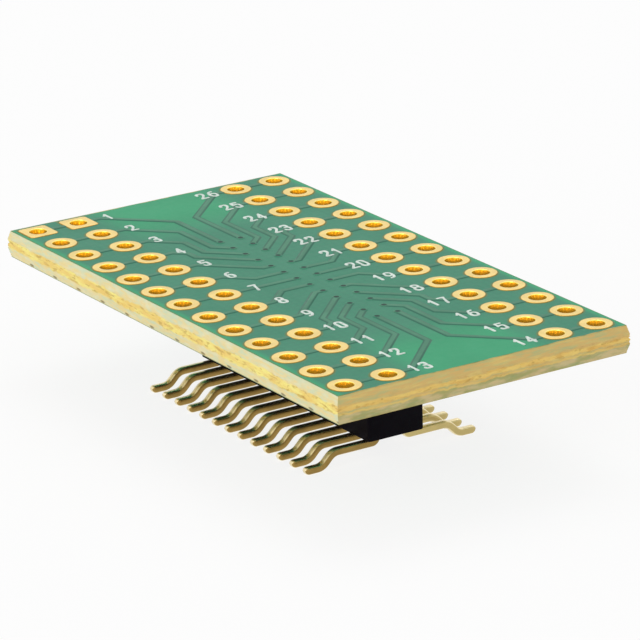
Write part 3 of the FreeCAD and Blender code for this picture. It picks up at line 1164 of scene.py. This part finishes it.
class ADAPTER_OT_legs(bpy.types.Operator):
    """Builds the gull-wing legs, each as its own piece"""

    bl_idname = "adapter.legs"
    bl_label = "Gull-wing legs"

    def execute(self, context):
        """One grid serves all legs: mirrored on the left row, and moved along to the middle of its node."""
        legs, colours = context.scene.adapter_legs, context.scene.adapter_finish
        paint = wire_paint(colours)
        grid, uv = self.leg_grid(legs)
        for name in LEG_NAMES:
            low, high = node_box(name)
            side = np.sign(low[0] + high[0])
            placed = grid * (side, 1, 1) + (0, (low[1] + high[1]) / 2, 0)
            add_piece(Surface().add(placed, close_columns=True, uv=uv), "leg_" + name[-2:], paint,
                      [name], 40)
        return {"FINISHED"}

    @staticmethod
    def centre_line(legs):
        """Middle of the wire in the side view, with its direction: straight stretches joined by arcs that
        touch both. An arc point is its centre plus the radius, turned evenly from one stretch to the next.
        Along the nose, the distance to the tip is the nose's radius times one less the cosine of an angle
        that falls evenly to 0, so the points crowd towards the tip."""
        half = legs.thickness / 2
        tip = LEG_HIGH[0]
        heel = tip - legs.foot_length
        knee = heel - legs.run_height
        shift = half * math.tan(math.pi / 8)
        corners = np.array([
            (LEG_LOW[0] + half, LEG_HIGH[2]),
            (LEG_LOW[0] + half, legs.run_height + half),
            (knee + shift, legs.run_height + half),
            (heel + shift, half),
            (tip, half),
        ])
        arc_points, nose_points = 11, 14
        radii = [legs.root_radius + half, legs.foot_radius + half, legs.foot_radius + half]
        points, directions = [corners[:1]], [corners[1:2] - corners[:1]]
        for index, radius in enumerate(radii, start=1):
            back = corners[index - 1] - corners[index]
            ahead = corners[index + 1] - corners[index]
            back, ahead = back / np.linalg.norm(back), ahead / np.linalg.norm(ahead)
            opening = math.acos(float(np.clip(back @ ahead, -1, 1)))
            middle = back + ahead
            centre = corners[index] + middle / np.linalg.norm(middle) * radius / math.sin(opening / 2)
            start = corners[index] + back * radius / math.tan(opening / 2) - centre
            turn = (math.pi - opening) * np.sign(back[1] * ahead[0] - back[0] * ahead[1])
            swept = np.linspace(0, turn, arc_points)
            points.append(centre + turned(start, swept))
            directions.append(turned(-back, swept))
        ease = 1 - np.cos(np.linspace(0, math.pi / 2, nose_points))
        foot_x = tip - legs.nose_radius + legs.nose_radius * (1 - ease[::-1])
        points.append(join(foot_x, half))
        directions.append(np.tile([[1.0, 0.0]], (nose_points, 1)))
        points, directions = np.concatenate(points), np.concatenate(directions)
        return points, directions / np.linalg.norm(directions, axis=1, keepdims=True)

    @classmethod
    def leg_grid(cls, legs):
        """Wire as a rounded square carried along its middle line. Near the tip, circles cut the section's
        lower and upper sides, and its width falls with the square of the way into the nose, until it closes
        on a short level line."""
        points, directions = cls.centre_line(legs)
        half = legs.thickness / 2
        flat = half - legs.edge_radius
        turn = np.linspace(0, math.pi / 2, 4)
        a, b = flat + legs.edge_radius * np.cos(turn), flat + legs.edge_radius * np.sin(turn)
        across = np.concatenate([a, -a[::-1], -a, a[::-1]])
        up = np.concatenate([b, b[::-1], -b, -b[::-1]])
        rounding = 1e-9
        to_tip = LEG_HIGH[0] - points[:, 0]
        in_nose = (np.abs(points[:, 1] - half) < rounding) & (to_tip <= legs.nose_radius + rounding)
        lower_radius = legs.nose_radius
        upper_radius = legs.thickness - lower_radius
        lower_cut = np.clip(1 - to_tip / lower_radius, 0, 1)
        upper_cut = np.clip(1 - to_tip / upper_radius, 0, 1)
        low = -half + np.where(in_nose, lower_radius * (1 - np.sqrt(1 - lower_cut ** 2)), 0)
        high = half - np.where(in_nose, upper_radius * (1 - np.sqrt(1 - upper_cut ** 2)), 0)
        narrow = np.where(in_nose, (1 - legs.nose_width / legs.thickness) * lower_cut ** 2, 0)
        level = low[:, None] + (up / half + 1) / 2 * (high - low)[:, None]
        grid = join(points[:, :1] - directions[:, 1:] * level, across[None, :] * (1 - narrow)[:, None],
                    points[:, 1:] + directions[:, :1] * level)
        end = np.broadcast_to(grid[:1].mean(axis=1, keepdims=True), grid[:1].shape)
        grid = np.concatenate([end, grid])
        return grid, join(np.abs(across) / half, np.linspace(0, 1, len(grid))[:, None])


class ADAPTER_OT_body(bpy.types.Operator):
    """Builds the moulded body that holds the legs"""

    bl_idname = "adapter.body"
    bl_label = "Moulded body"

    def execute(self, context):
        """A rectangle with quarter circles at its corners, scaled towards its middle at every height. The
        inset follows a quarter circle at the upper and at the lower lip, and a point closes each end."""
        colours = context.scene.adapter_finish
        half = (BODY_HIGH - BODY_LOW) / 2
        corner, lip = 0.16 * MM, 0.05 * MM
        turn = np.linspace(0, math.pi / 2, 7)
        quarter = np.stack([np.cos(turn), np.sin(turn)], -1)
        signs = np.array([(1, 1), (-1, 1), (-1, -1), (1, -1)])
        outline = np.concatenate([
            (half[:2] - corner) * sign + corner * (quarter if index % 2 == 0 else quarter[::-1]) * sign
            for index, sign in enumerate(signs)])
        lip_turn = np.linspace(0, math.pi / 2, 5)
        inner = [0.6 * half[0]]
        inset = np.concatenate([inner, lip * (1 - np.sin(lip_turn)), lip * (1 - np.cos(lip_turn)), inner])
        height = np.concatenate([[BODY_LOW[2]], BODY_LOW[2] + lip * (1 - np.cos(lip_turn)),
                                 BODY_HIGH[2] - lip * (1 - np.sin(lip_turn)), [BODY_HIGH[2]]])
        scale = 1 - inset[:, None, None] / half[:2]
        level = outline * scale
        points = join(level[..., 0], level[..., 1], height[:, None])
        ends = [np.broadcast_to(points[index].mean(axis=0), points[index].shape)[None] for index in (0, -1)]
        surface = Surface().add(np.concatenate([ends[0], points, ends[1]]), close_columns=True)
        add_piece(surface, "moulded_body", plastic_paint(colours), ["header_body"])
        return {"FINISHED"}


class ADAPTER_OT_solder(bpy.types.Operator):
    """Builds a fillet of solder between each leg and the board"""

    bl_idname = "adapter.solder"
    bl_label = "Solder joints"

    def execute(self, context):
        """Each fillet is a turned form whose outline bends from a square at the leg to a circle at the board,
        and its reach grows with the square of the height."""
        legs, colours = context.scene.adapter_legs, context.scene.adapter_finish
        pitch = context.scene.adapter_board.via_pitch
        low, high = node_box("solder_joints")
        angle = full_turn(24)
        direction = join(np.cos(angle), np.sin(angle))
        rise = np.linspace(0, 1, 7)[:, None]
        square = square_reach(direction, legs.thickness / 2)
        wide = (high[1] - low[1]) / 2 - (ROWS - 1) / 2 * pitch
        reach = square + (wide - square) * rise ** 2
        leg_x = (LEG_LOW[0] + legs.thickness / 2) * np.array([-1, 1])
        leg_y = (np.arange(ROWS) - (ROWS - 1) / 2) * pitch
        centre_x, centre_y = (part.reshape(-1, 1, 1) for part in np.meshgrid(leg_x, leg_y))
        closed = np.concatenate([0 * reach[:1], reach, 0 * reach[:1]])
        level = low[2] + (high[2] - low[2]) * np.concatenate([rise[:1], rise, rise[-1:]])
        points = join(centre_x + closed * direction[:, 0], centre_y + closed * direction[:, 1], level)
        surface = Surface().add(points, close_columns=True)
        add_piece(surface, "solder_fillets", solder_paint(colours), ["solder_joints"])
        return {"FINISHED"}


class ADAPTER_OT_studio(bpy.types.Operator):
    """Sets up the pale floor, the soft light and the camera"""

    bl_idname = "adapter.studio"
    bl_label = "Studio"

    def execute(self, context):
        studio = context.scene.adapter_studio
        self.floor(studio)
        self.light_all_round(context.scene, studio)
        self.lamp("key lamp", place=(0.7, 1.0, 2.4), size=1.8, share=studio.key)
        self.lamp("low lamp", place=(-2.2, -0.8, 0.95), size=1.5, share=studio.fill)
        self.camera(context.scene, studio)
        context.scene.view_settings.view_transform = "Standard"
        return {"FINISHED"}

    @staticmethod
    def floor(studio):
        """Level disc under the feet: points at the cosine and sine of each angle, times each ring's radius.
        What the camera, gloss or glass sees of it is part plain white, so that its shadow stays light."""
        rings = np.array([0.0, 0.05, 0.2, 1.0, 6.0])[:, None]
        angle = full_turn(48)
        points = join(rings * np.cos(angle), rings * np.sin(angle), 0.0)
        paint = Paint("pale floor", 0.9, specular=0.0)
        tree = paint.tree
        white = node(tree, "ShaderNodeEmission")
        white.inputs["Strength"].default_value = 1.0
        blend = node(tree, "ShaderNodeMixShader")
        feed(tree, times(tree, seen_rays(tree), studio.floor_glow), blend.inputs[0])
        feed(tree, paint.shader.outputs[0], blend.inputs[1])
        feed(tree, white.outputs[0], blend.inputs[2])
        output = next(n for n in tree.nodes if n.type == "OUTPUT_MATERIAL")
        feed(tree, blend.outputs[0], output.inputs["Surface"])
        material = paint.finish(paint.tint(12.0, (0.95, 0.95, 0.95), (0.94, 0.94, 0.94)))
        mesh = Surface().add(points, close_columns=True).mesh("floor", crease=180)
        disc = bpy.data.objects.new("floor", mesh)
        disc.data.materials.append(material)
        bpy.context.scene.collection.objects.link(disc)

    @staticmethod
    def light_all_round(scene, studio):
        """World that lights softly, and is white where the camera, gloss or glass looks past the floor."""
        world = bpy.data.worlds.new("soft room")
        world.use_nodes = True
        scene.world = world
        tree = world.node_tree
        background = next(n for n in tree.nodes if n.type == "BACKGROUND")
        strength = plus(tree, times(tree, seen_rays(tree), 1.0 - studio.daylight), studio.daylight)
        background.inputs["Color"].default_value = (1.0, 1.0, 1.0, 1.0)
        feed(tree, strength, background.inputs["Strength"])
        lay_out(tree)

    @staticmethod
    def lamp(name, place, size, share):
        """Square lamp aimed at the board. Its power gives a face turned to it the wanted share of full
        light: share times pi squared times the distance squared."""
        place = Vector(place)
        target = Vector((0.0, 0.0, BOARD_TOP))
        light = bpy.data.lights.new(name, "AREA")
        light.size = size
        light.energy = share * math.pi ** 2 * (target - place).length_squared
        lamp = bpy.data.objects.new(name, light)
        lamp.location = place
        lamp.rotation_euler = (target - place).to_track_quat("-Z", "Y").to_euler()
        bpy.context.scene.collection.objects.link(lamp)

    @staticmethod
    def camera(scene, studio):
        """Camera on a sphere round the board's middle, rolled, then moved so that the middle lies off the
        axis."""
        azimuth, elevation = studio.azimuth, studio.elevation
        back = Vector((math.sin(azimuth) * math.cos(elevation), -math.cos(azimuth) * math.cos(elevation),
                       math.sin(elevation)))
        level_right = (-back).cross(Vector((0, 0, 1))).normalized()
        level_up = back.cross(level_right)
        right = level_right * math.cos(studio.roll) - level_up * math.sin(studio.roll)
        up = level_up * math.cos(studio.roll) + level_right * math.sin(studio.roll)
        centre = Vector((0.0, 0.0, BOARD_TOP))
        place = centre + back * studio.distance - right * studio.aim_across + up * studio.aim_down
        camera = bpy.data.objects.new("camera", bpy.data.cameras.new("camera"))
        camera.data.lens = studio.lens
        camera.data.sensor_width = 36.0
        camera.data.clip_start = 0.005
        camera.data.clip_end = 10.0
        camera.matrix_world = Matrix((
            (right.x, up.x, back.x, place.x),
            (right.y, up.y, back.y, place.y),
            (right.z, up.z, back.z, place.z),
            (0.0, 0.0, 0.0, 1.0)))
        scene.collection.objects.link(camera)
        scene.camera = camera


class ADAPTER_PT_panel(bpy.types.Panel):
    """Buttons that build the pieces in order, and the settings"""

    bl_idname = "ADAPTER_PT_panel"
    bl_label = "Adapter board"
    bl_space_type = "VIEW_3D"
    bl_region_type = "UI"
    bl_category = "Adapter"

    def draw(self, context):
        for operator in BUILD_ORDER:
            self.layout.operator(operator.bl_idname)
        for settings in SETTINGS:
            group = getattr(context.scene, settings)
            box = self.layout.box()
            for name in group.__annotations__:
                box.prop(group, name)


BUILD_ORDER = (ADAPTER_OT_laminate, ADAPTER_OT_film, ADAPTER_OT_tracks, ADAPTER_OT_pads,
               ADAPTER_OT_numbers, ADAPTER_OT_legs, ADAPTER_OT_body, ADAPTER_OT_solder, ADAPTER_OT_studio)
SETTINGS = {"adapter_board": BoardSettings, "adapter_legs": LegSettings, "adapter_finish": FinishSettings,
            "adapter_studio": StudioSettings}
CLASSES = tuple(SETTINGS.values()) + BUILD_ORDER + (ADAPTER_PT_panel,)


def register():
    """Makes the classes and the scene's settings known to Blender."""
    for item in CLASSES:
        bpy.utils.register_class(item)
    for name, settings in SETTINGS.items():
        setattr(bpy.types.Scene, name, PointerProperty(type=settings))


def unregister():
    """Takes them back."""
    for name in SETTINGS:
        delattr(bpy.types.Scene, name)
    for item in reversed(CLASSES):
        bpy.utils.unregister_class(item)


def main():
    """Builds every piece in order."""
    register()
    for operator in BUILD_ORDER:
        group, name = operator.bl_idname.split(".")
        getattr(getattr(bpy.ops, group), name)()


if __name__ == "__main__":
    main()
